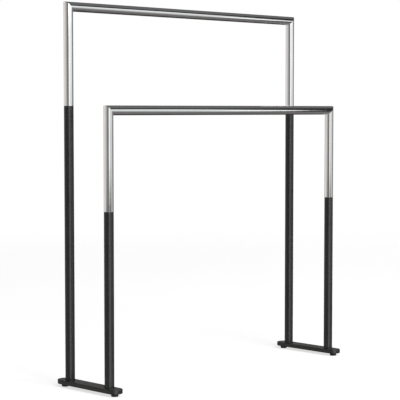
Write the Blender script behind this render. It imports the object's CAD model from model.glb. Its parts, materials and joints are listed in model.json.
import json
import math

import bpy
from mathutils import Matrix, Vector


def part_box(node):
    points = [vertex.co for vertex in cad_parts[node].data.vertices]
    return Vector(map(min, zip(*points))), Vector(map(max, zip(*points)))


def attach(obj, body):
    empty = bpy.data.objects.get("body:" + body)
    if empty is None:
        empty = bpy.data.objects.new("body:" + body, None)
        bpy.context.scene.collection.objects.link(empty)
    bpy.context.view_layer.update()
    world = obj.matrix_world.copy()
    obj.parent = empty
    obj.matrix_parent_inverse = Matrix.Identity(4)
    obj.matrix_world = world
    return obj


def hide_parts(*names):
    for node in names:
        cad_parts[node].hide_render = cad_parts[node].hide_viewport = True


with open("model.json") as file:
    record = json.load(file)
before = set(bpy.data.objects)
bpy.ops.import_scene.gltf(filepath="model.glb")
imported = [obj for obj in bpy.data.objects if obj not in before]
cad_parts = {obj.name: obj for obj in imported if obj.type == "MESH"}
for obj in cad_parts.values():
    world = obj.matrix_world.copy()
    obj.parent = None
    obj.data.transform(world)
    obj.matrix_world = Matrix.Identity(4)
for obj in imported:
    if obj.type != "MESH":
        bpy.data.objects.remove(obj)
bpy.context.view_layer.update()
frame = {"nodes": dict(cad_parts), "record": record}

# A freestanding two-tier towel stand: chrome tube above, satin black tube and flat bars below, and
# four rubber feet on threaded studs. Lengths are in metres, angles in degrees, and +Z is up.

SLOTS = {entry["node"]: entry["material_slot"] for entry in frame["record"]["subparts"]}
CORNERS = ("back_left", "back_right", "front_left", "front_right")

MM = 0.001


# ---------------------------------------------------------------- shader helpers

# Cosines between a bevelled normal and the flat one, where an edge starts and where it is full.
EDGE_START = 0.995
EDGE_FULL = 0.86


class Nodes:
    """Short ways to add and join the nodes of one material or world."""

    def __init__(self, owner):
        owner.use_nodes = True
        self.tree = owner.node_tree
        self.tree.nodes.clear()

    def add(self, kind, inputs=None, **settings):
        """A node with its settings and inputs, each input a number, a colour or a socket."""
        node = self.tree.nodes.new(kind)
        for name, value in settings.items():
            setattr(node, name, value)
        for name, value in (inputs or {}).items():
            socket = node.inputs[name]
            if isinstance(value, bpy.types.NodeSocket):
                self.tree.links.new(value, socket)
            else:
                socket.default_value = value
        return node

    def math(self, operation, *values):
        """The result of a Math node on one to three values."""
        return self.add("ShaderNodeMath", dict(enumerate(values)), operation=operation).outputs[0]

    def plus(self, first, second):
        """The sum of two values."""
        return self.math("ADD", first, second)

    def times(self, first, second):
        """The product of two values."""
        return self.math("MULTIPLY", first, second)

    def mapped(self, value, low, high, to_low=0.0, to_high=1.0, smooth=False):
        """The value moved from one range to another, and held at its ends."""
        inputs = {
            "Value": value,
            "From Min": low,
            "From Max": high,
            "To Min": to_low,
            "To Max": to_high,
        }
        kind = "SMOOTHSTEP" if smooth else "LINEAR"
        return self.add("ShaderNodeMapRange", inputs, interpolation_type=kind).outputs["Result"]

    def mix(self, factor, first, second):
        """A colour between two colours."""
        inputs = {0: factor, 6: first, 7: second}
        return self.add("ShaderNodeMix", inputs, data_type="RGBA").outputs[2]

    def towards(self, colour, other, mask, share):
        """The colour moved this share of the way to another one, where the mask is 1."""
        return self.mix(self.times(mask, share), colour, other)

    def noise(self, vector, size, detail, roughness=0.5):
        """Noise from 0 to 1 whose lumps are about this size."""
        inputs = {"Vector": vector, "Scale": 1.0 / size, "Detail": detail, "Roughness": roughness}
        return self.add("ShaderNodeTexNoise", inputs).outputs["Fac"]

    def stretched(self, vector, scale):
        """The vector scaled along each axis, so that a pattern on it turns into streaks."""
        return self.add("ShaderNodeMapping", {"Vector": vector, "Scale": scale}).outputs["Vector"]

    def place(self):
        """Where the point is on the object, in metres."""
        return self.add("ShaderNodeTexCoord").outputs["Object"]

    def facing(self):
        """The surface's own normal, before any bump."""
        return self.add("ShaderNodeNewGeometry").outputs["Normal"]

    def height(self, vector):
        """The vector's Z."""
        return self.add("ShaderNodeSeparateXYZ", {0: vector}).outputs["Z"]

    def bump(self, height, depth, normal=None):
        """A normal from a height between 0 and 1 and the depth in metres that it stands for."""
        inputs = {"Height": height, "Distance": depth, "Strength": 1.0}
        if normal is not None:
            inputs["Normal"] = normal
        return self.add("ShaderNodeBump", inputs).outputs["Normal"]

    def edge(self, radius):
        """1 on the edges of the object, falling to 0 within the radius."""
        rounded = self.add("ShaderNodeBevel", {"Radius": radius}, samples=4).outputs["Normal"]
        inputs = {0: rounded, 1: self.facing()}
        dot = self.add("ShaderNodeVectorMath", inputs, operation="DOT_PRODUCT").outputs["Value"]
        return self.mapped(dot, EDGE_START, EDGE_FULL)

    def surface(self, shader, kind="ShaderNodeOutputMaterial"):
        """Joins the shader to the output."""
        self.add(kind, {"Surface": shader})

    def principled(self, inputs):
        """A Principled shader with these inputs, joined to the output."""
        self.surface(self.add("ShaderNodeBsdfPrincipled", inputs).outputs[0])


def material(name):
    """A new material, and the helper for its nodes."""
    made = bpy.data.materials.new(name)
    return made, Nodes(made)


def grey(value):
    """A colour that is equal in red, green and blue."""
    return (value, value, value, 1.0)


def tinted(value, tint):
    """A grey of this value, times the tint."""
    return (*(value * part for part in tint), 1.0)


# ---------------------------------------------------------------- finishes

CHROME_DEEP = (0.80, 0.802, 0.806, 1.0)
CHROME_CLEAR = (0.85, 0.851, 0.854, 1.0)
CHROME_DULL = (0.55, 0.55, 0.56, 1.0)
CHROME_EDGE_ROUGHER = 0.12

COAT_DEEP = (0.010, 0.010, 0.0107, 1.0)
COAT_PALE = (0.015, 0.015, 0.0158, 1.0)
COAT_RUBBED = (0.08, 0.08, 0.084, 1.0)
COAT_DUST = (0.085, 0.084, 0.083, 1.0)
COAT_DUST_ROUGHER = 0.12
COAT_SPECULAR = 0.5

ZINC_BLUE = (0.55, 0.57, 0.60, 1.0)
ZINC_GREY = (0.68, 0.68, 0.67, 1.0)
ZINC_BRIGHT = grey(0.80)

RUBBER_DEEP = grey(0.010)
RUBBER_PALE = grey(0.015)
RUBBER_SCUFFED = grey(0.04)
RUBBER_DUST = (0.10, 0.095, 0.09, 1.0)
RUBBER_DUST_REACH = 1.6 * MM


def chrome_plate():
    """Polished chrome: a faint haze of wiping marks, fine upright hairlines and duller edges."""
    made, n = material("chrome_plate")
    place = n.place()
    haze = n.noise(place, size=35 * MM, detail=3.0)
    streaks = n.stretched(place, scale=(1.0, 1.0, 0.25))
    wiped = n.noise(streaks, size=9 * MM, detail=4.0, roughness=0.6)
    lines = n.stretched(place, scale=(1.0, 1.0, 0.04))
    hairline = n.noise(lines, size=0.5 * MM, detail=2.0)
    edge = n.edge(radius=0.8 * MM)
    roughness = n.mapped(haze, 0.35, 0.7, to_low=0.035, to_high=0.075)
    roughness = n.plus(roughness, n.mapped(wiped, 0.5, 0.75, to_low=0.0, to_high=0.03))
    roughness = n.plus(roughness, n.times(edge, CHROME_EDGE_ROUGHER))
    colour = n.mix(n.mapped(wiped, 0.3, 0.7), CHROME_DEEP, CHROME_CLEAR)
    colour = n.towards(colour, CHROME_DULL, edge, share=0.5)
    normal = n.bump(haze, depth=0.03 * MM)
    normal = n.bump(hairline, depth=0.0006 * MM, normal=normal)
    n.principled(
        {"Base Color": colour, "Metallic": 1.0, "Roughness": roughness, "Normal": normal}
    )
    return made


def powder_coat():
    """Satin black powder coat: orange peel, an uneven sheen, rubbed edges and dust on top."""
    made, n = material("powder_coat")
    place = n.place()
    cloud = n.noise(place, size=40 * MM, detail=3.0)
    peel = n.noise(place, size=1.4 * MM, detail=1.0)
    grain = n.noise(place, size=0.35 * MM, detail=2.0)
    edge = n.edge(radius=1.0 * MM)
    edge = n.times(edge, n.mapped(n.noise(place, size=6 * MM, detail=4.0), 0.42, 0.62))
    dust = n.mapped(n.height(n.facing()), 0.6, 1.0)
    dust = n.times(dust, n.mapped(n.noise(place, size=12 * MM, detail=5.0), 0.3, 0.7))
    colour = n.mix(n.mapped(cloud, 0.3, 0.7), COAT_DEEP, COAT_PALE)
    colour = n.towards(colour, COAT_DUST, dust, share=0.40)
    colour = n.towards(colour, COAT_RUBBED, edge, share=0.28)
    roughness = n.mapped(cloud, 0.3, 0.7, to_low=0.30, to_high=0.36)
    roughness = n.plus(roughness, n.mapped(grain, 0.3, 0.7, to_low=-0.03, to_high=0.03))
    roughness = n.plus(roughness, n.times(dust, COAT_DUST_ROUGHER))
    normal = n.bump(grain, depth=0.002 * MM)
    normal = n.bump(peel, depth=0.014 * MM, normal=normal)
    n.principled(
        {
            "Base Color": colour,
            "Roughness": roughness,
            "Normal": normal,
            "Specular IOR Level": COAT_SPECULAR,
        }
    )
    return made


def zinc_plate():
    """Bright zinc on turned steel: fine turning marks, blue-grey patches and bright edges."""
    made, n = material("zinc_plate")
    place = n.place()
    patch = n.noise(place, size=3 * MM, detail=4.0)
    rings = n.stretched(place, scale=(0.15, 0.15, 1.0))
    turned = n.noise(rings, size=0.15 * MM, detail=2.0)
    edge = n.edge(radius=0.3 * MM)
    colour = n.mix(n.mapped(patch, 0.35, 0.65), ZINC_BLUE, ZINC_GREY)
    colour = n.towards(colour, ZINC_BRIGHT, edge, share=0.5)
    roughness = n.mapped(patch, 0.3, 0.7, to_low=0.26, to_high=0.42)
    normal = n.bump(turned, depth=0.004 * MM)
    n.principled(
        {"Base Color": colour, "Metallic": 1.0, "Roughness": roughness, "Normal": normal}
    )
    return made


def rubber():
    """Moulded black rubber: a fine matt grain, scuffed edges and a little dust near the floor."""
    made, n = material("rubber")
    place = n.place()
    grain = n.noise(place, size=0.25 * MM, detail=2.0)
    cloud = n.noise(place, size=5 * MM, detail=3.0)
    edge = n.times(n.edge(radius=0.8 * MM), n.mapped(cloud, 0.4, 0.6))
    dust = n.mapped(n.height(place), RUBBER_DUST_REACH, 0.0)
    dust = n.times(dust, n.mapped(cloud, 0.35, 0.65))
    colour = n.mix(n.mapped(cloud, 0.3, 0.7), RUBBER_DEEP, RUBBER_PALE)
    colour = n.towards(colour, RUBBER_SCUFFED, edge, share=0.3)
    colour = n.towards(colour, RUBBER_DUST, dust, share=0.25)
    roughness = n.mapped(grain, 0.3, 0.7, to_low=0.62, to_high=0.82)
    normal = n.bump(grain, depth=0.02 * MM)
    n.principled({"Base Color": colour, "Roughness": roughness, "Normal": normal})
    return made


FINISHES = {
    "chrome_tube": chrome_plate(),
    "black_coat": powder_coat(),
    "zinc_steel": zinc_plate(),
    "foot_rubber": rubber(),
}

for name, node in frame["nodes"].items():
    node.data.materials.clear()
    node.data.materials.append(FINISHES[SLOTS[name]])


# ---------------------------------------------------------------- directions and meshes


def direction(azimuth, elevation):
    """A unit vector from its angle round +Z from +X, and its height above the horizon."""
    a = math.radians(azimuth)
    e = math.radians(elevation)
    return Vector((math.cos(a) * math.cos(e), math.sin(a) * math.cos(e), math.sin(e)))


def mesh_object(name, points, faces):
    """An object in the scene, made of these points and faces."""
    mesh = bpy.data.meshes.new(name)
    mesh.from_pydata(points, [], faces)
    made = bpy.data.objects.new(name, mesh)
    bpy.context.scene.collection.objects.link(made)
    return made


# ---------------------------------------------------------------- threaded foot studs

THREAD_PITCH = 1.0 * MM
THREAD_DEPTH = 0.55 * MM
FLANK_SLOPE = 2.2  # share of the thread's depth that a flank falls, for a whole pitch
CREST_FLAT = 0.05  # share of the depth that is held back, which leaves the crests flat
RING_STEPS = 48
RINGS_PER_PITCH = 12


def threaded_stud(corner):
    """A metric thread turned on the foot's stud, inside the plain stud's outline."""
    low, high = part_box(corner + "_foot_stud")
    centre = (low + high) / 2
    radius = (high.x - low.x) / 2
    length = high.z - low.z
    rings = round(length / THREAD_PITCH * RINGS_PER_PITCH)
    points = []
    faces = []
    for ring in range(rings + 1):
        z = length * ring / rings
        bevel = max(0.0, z - (length - THREAD_DEPTH))
        for step in range(RING_STEPS):
            turn = step / RING_STEPS
            from_crest = abs((z / THREAD_PITCH - turn) % 1.0 - 0.5)
            depth = THREAD_DEPTH * min(1.0, max(0.0, FLANK_SLOPE * from_crest - CREST_FLAT))
            reach = min(radius - depth, radius - bevel)
            angle = 2 * math.pi * turn
            x = centre.x + reach * math.cos(angle)
            y = centre.y + reach * math.sin(angle)
            points.append((x, y, low.z + z))
    for ring in range(rings):
        for step in range(RING_STEPS):
            here = ring * RING_STEPS + step
            beside = ring * RING_STEPS + (step + 1) % RING_STEPS
            faces.append((here, beside, beside + RING_STEPS, here + RING_STEPS))
    faces.append(tuple(reversed(range(RING_STEPS))))
    faces.append(tuple(range(rings * RING_STEPS, (rings + 1) * RING_STEPS)))
    stud = mesh_object(corner + "_foot_thread", points, faces)
    stud.data.validate()
    for face in stud.data.polygons[:-2]:
        face.use_smooth = True
    stud.data.materials.append(FINISHES["zinc_steel"])
    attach(stud, corner + "_foot")
    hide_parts(corner + "_foot_stud")


for corner in CORNERS:
    threaded_stud(corner)


# ---------------------------------------------------------------- camera

# The camera fitted to the photograph's edges. The picture is 400 pixels wide and 400 high.
IMAGE_WIDTH = 400
FOCAL_PIXELS = 1442.95
CAMERA_PLACE = (-2.27169, -2.23279, 0.57804)
CAMERA_YAW = 44.790
CAMERA_PITCH = 3.5744

camera_data = bpy.data.cameras.new("camera")
camera_data.lens = FOCAL_PIXELS / IMAGE_WIDTH * camera_data.sensor_width
camera = bpy.data.objects.new("camera", camera_data)
camera.location = CAMERA_PLACE
camera.rotation_mode = "QUATERNION"
camera.rotation_quaternion = direction(CAMERA_YAW, -CAMERA_PITCH).to_track_quat("-Z", "Y")
bpy.context.scene.collection.objects.link(camera)
bpy.context.scene.camera = camera


# ---------------------------------------------------------------- floor

FLOOR_RADIUS = 4.0
FLOOR_FADE_START = 1.6
FLOOR_DARK = grey(0.45)
FLOOR_PALE = grey(0.47)
FLOOR_GLOW = 0.68
WHITE = grey(1.0)


def seen_directly(n):
    """1 for rays that show the background: camera rays, and rays off or through a surface."""
    path = n.add("ShaderNodeLightPath")
    seen = n.math("MAXIMUM", path.outputs["Is Camera Ray"], path.outputs["Is Glossy Ray"])
    return n.math("MAXIMUM", seen, path.outputs["Is Transmission Ray"])


def floor_paint():
    """Matt white floor that keeps the shadow, and thins out towards the white backdrop."""
    made, n = material("floor_paint")
    place = n.place()
    colour = n.mix(n.noise(place, size=60 * MM, detail=4.0), FLOOR_DARK, FLOOR_PALE)
    paint = n.add("ShaderNodeBsdfDiffuse", {"Color": colour}).outputs[0]
    strength = n.times(seen_directly(n), FLOOR_GLOW)
    glow = n.add("ShaderNodeEmission", {"Color": WHITE, "Strength": strength}).outputs[0]
    lit = n.add("ShaderNodeAddShader", {0: paint, 1: glow}).outputs[0]
    distance = n.add("ShaderNodeVectorMath", {0: place}, operation="LENGTH").outputs["Value"]
    fade = n.mapped(distance, FLOOR_FADE_START, FLOOR_RADIUS, smooth=True)
    clear = n.add("ShaderNodeBsdfTransparent").outputs[0]
    n.surface(n.add("ShaderNodeMixShader", {0: fade, 1: lit, 2: clear}).outputs[0])
    return made


def disc(name, radius, steps=96):
    """A flat round sheet on the floor."""
    rim = [direction(360 * step / steps, 0) * radius for step in range(steps)]
    return mesh_object(name, rim, [tuple(range(steps))])


floor = disc("floor", FLOOR_RADIUS)
floor.data.materials.append(floor_paint())
floor.visible_glossy = False


# ---------------------------------------------------------------- studio that the chrome mirrors

STUDIO_RADIUS = 40.0
STUDIO_GREY = grey(0.40)
NEUTRAL = (1.0, 1.0, 1.0)
WARM = (1.0, 0.955, 0.93)
COOL = (0.98, 1.0, 1.0)

# Panels and screens of a studio, far away, each in front of the ones before it. In order: azimuth
# from and to, round +Z from +X, elevation from and to, brightness at the two ends of the azimuth
# range, softness of the edges, and tint.
STUDIO = (
    (70, 135, -90, 90, 0.70, 0.88, 10, WARM),  # wall behind on the left
    (134, 200, -90, 90, 0.82, 0.34, 8, WARM),  # side wall on the left
    (192, 233, -90, 90, 0.25, 0.18, 4, WARM),  # dark doorway beside the camera
    (234, 317.4, -90, 90, 1.10, 0.92, 1.5, COOL),  # large soft box on the right
    (250, 317.4, -90, 1.5, 0.78, 0.66, 5, COOL),  # lower half of the soft box
    (308, 317.4, -90, -12, 0.34, 0.34, 4, COOL),  # foot of the soft box
    (260, 308, 6, 60, 2.4, 3.6, 3, COOL),  # upper half of the soft box
    (234, 252, -90, 90, 1.36, 1.10, 1.5, COOL),  # strip light beside the camera
    (229, 276, 5.5, 60, 5.2, 3.2, 2, COOL),  # lamp above the strip light
    (316.5, 319.5, -11.5, 4, 1.25, 1.25, 1, COOL),  # bright edge of the soft box
    (319.9, 327, -90, 90, 0.02, 0.06, 0.8, NEUTRAL),  # dark screen past the soft box
    (328, 400, -90, 90, 0.24, 0.28, 3, NEUTRAL),  # wall behind on the right
    (166, 296, -90, -2.6, 0.26, 0.06, 3, WARM),  # dark skirting of the walls
    (60, 180, -90, -7.5, 0.12, 0.34, 3, WARM),  # skirting on the left
    (76, 229, 7, 60, 0.10, 0.06, 4, WARM),  # dark curtain on the left
    (290, 420, -90, -22, 0.22, 0.12, 10, WARM),  # dark floor on the right
    (10, 75, -90, -2, 0.04, 0.04, 8, WARM),  # dark floor behind the stand
    (10, 75, 2, 34, 0.40, 0.40, 8, WARM),  # wall behind the stand
    (76, 300, -90, -13.5, 0.58, 0.90, 3, WARM),  # pale floor
    (80, 300, -90, -31, 0.20, 0.30, 6, WARM),  # floor near the stand
    (336, 360, -27, -15, 0.80, 0.70, 4, WARM),  # pale floor on the right
    (229, 272, -36, -5, 2.8, 1.8, 3, COOL),  # low lamp beside the camera
    (-360, 360, 35, 90, 0.15, 0.15, 2, NEUTRAL),  # ceiling
    (288, 436, 20.5, 34, 0.01, 0.01, 3, NEUTRAL),  # dark ceiling edge
    (-360, 360, 62, 90, 0.95, 0.95, 5, NEUTRAL),  # overhead soft box
)


def within(n, angle, low, high, soft):
    """1 for an angle between these two, falling to 0 over the softness at either end."""
    entering = n.mapped(angle, low - soft / 2, low + soft / 2, smooth=True)
    leaving = n.mapped(angle, high - soft / 2, high + soft / 2, 1.0, 0.0, smooth=True)
    return n.times(entering, leaving)


def studio_light():
    """Emission painted over the far sphere from the list of panels."""
    made, n = material("studio_light")
    unit = n.add("ShaderNodeVectorMath", {0: n.place()}, operation="NORMALIZE").outputs["Vector"]
    axes = n.add("ShaderNodeSeparateXYZ", {0: unit}).outputs
    azimuth = n.math("DEGREES", n.math("ARCTAN2", axes["Y"], axes["X"]))
    elevation = n.math("DEGREES", n.math("ARCSINE", axes["Z"]))
    light = STUDIO_GREY
    for from_az, to_az, from_el, to_el, from_light, to_light, soft, tint in STUDIO:
        middle = (from_az + to_az) / 2
        turned = n.math("WRAP", azimuth, middle + 180, middle - 180)
        across = within(n, turned, from_az, to_az, soft)
        cover = n.times(across, within(n, elevation, from_el, to_el, soft))
        along = n.mapped(turned, from_az, to_az)
        panel = n.mix(along, tinted(from_light, tint), tinted(to_light, tint))
        light = n.mix(cover, light, panel)
    n.surface(n.add("ShaderNodeEmission", {"Color": light, "Strength": 1.0}).outputs[0])
    return made


def sphere(name, radius, steps=64):
    """A sphere round the origin, seen from inside."""
    rings = steps // 2
    points = [direction(0, -90) * radius]
    for ring in range(1, rings):
        for step in range(steps):
            points.append(direction(360 * step / steps, 180 * ring / rings - 90) * radius)
    points.append(direction(0, 90) * radius)
    faces = []
    top = len(points) - 1
    for step in range(steps):
        beside = (step + 1) % steps
        faces.append((0, 1 + step, 1 + beside))
        faces.append((top, top - steps + beside, top - steps + step))
        for ring in range(rings - 2):
            row = 1 + ring * steps
            faces.append((row + step, row + steps + step, row + steps + beside, row + beside))
    return mesh_object(name, points, faces)


studio = sphere("studio", STUDIO_RADIUS)
studio.data.materials.append(studio_light())
studio.visible_camera = False
studio.visible_diffuse = False
studio.visible_transmission = False
studio.visible_volume_scatter = False
studio.visible_shadow = False


# ---------------------------------------------------------------- lamps and world

STAND_MIDDLE = Vector((0, 0, 0.4))
WORLD_LIGHT = 0.34
WORLD_SEEN = 1.0


def soft_lamp(name, azimuth, elevation, distance, size, power):
    """A large soft lamp that faces the middle of the stand and doesn't show in reflections."""
    data = bpy.data.lights.new(name, "AREA")
    data.shape = "DISK"
    data.size = size
    data.energy = power
    lamp = bpy.data.objects.new(name, data)
    towards = direction(azimuth, elevation)
    lamp.location = STAND_MIDDLE + towards * distance
    lamp.rotation_mode = "QUATERNION"
    lamp.rotation_quaternion = (-towards).to_track_quat("-Z", "Y")
    lamp.visible_glossy = False
    lamp.visible_camera = False
    bpy.context.scene.collection.objects.link(lamp)


soft_lamp("key_lamp", azimuth=262, elevation=40, distance=8.0, size=5.0, power=520)

world = bpy.data.worlds.new("studio_world")
bpy.context.scene.world = world
sky = Nodes(world)
strength = sky.mapped(seen_directly(sky), 0.0, 1.0, to_low=WORLD_LIGHT, to_high=WORLD_SEEN)
backdrop = sky.add("ShaderNodeBackground", {"Color": WHITE, "Strength": strength})
sky.surface(backdrop.outputs[0], "ShaderNodeOutputWorld")

bpy.context.scene.view_settings.view_transform = "Standard"
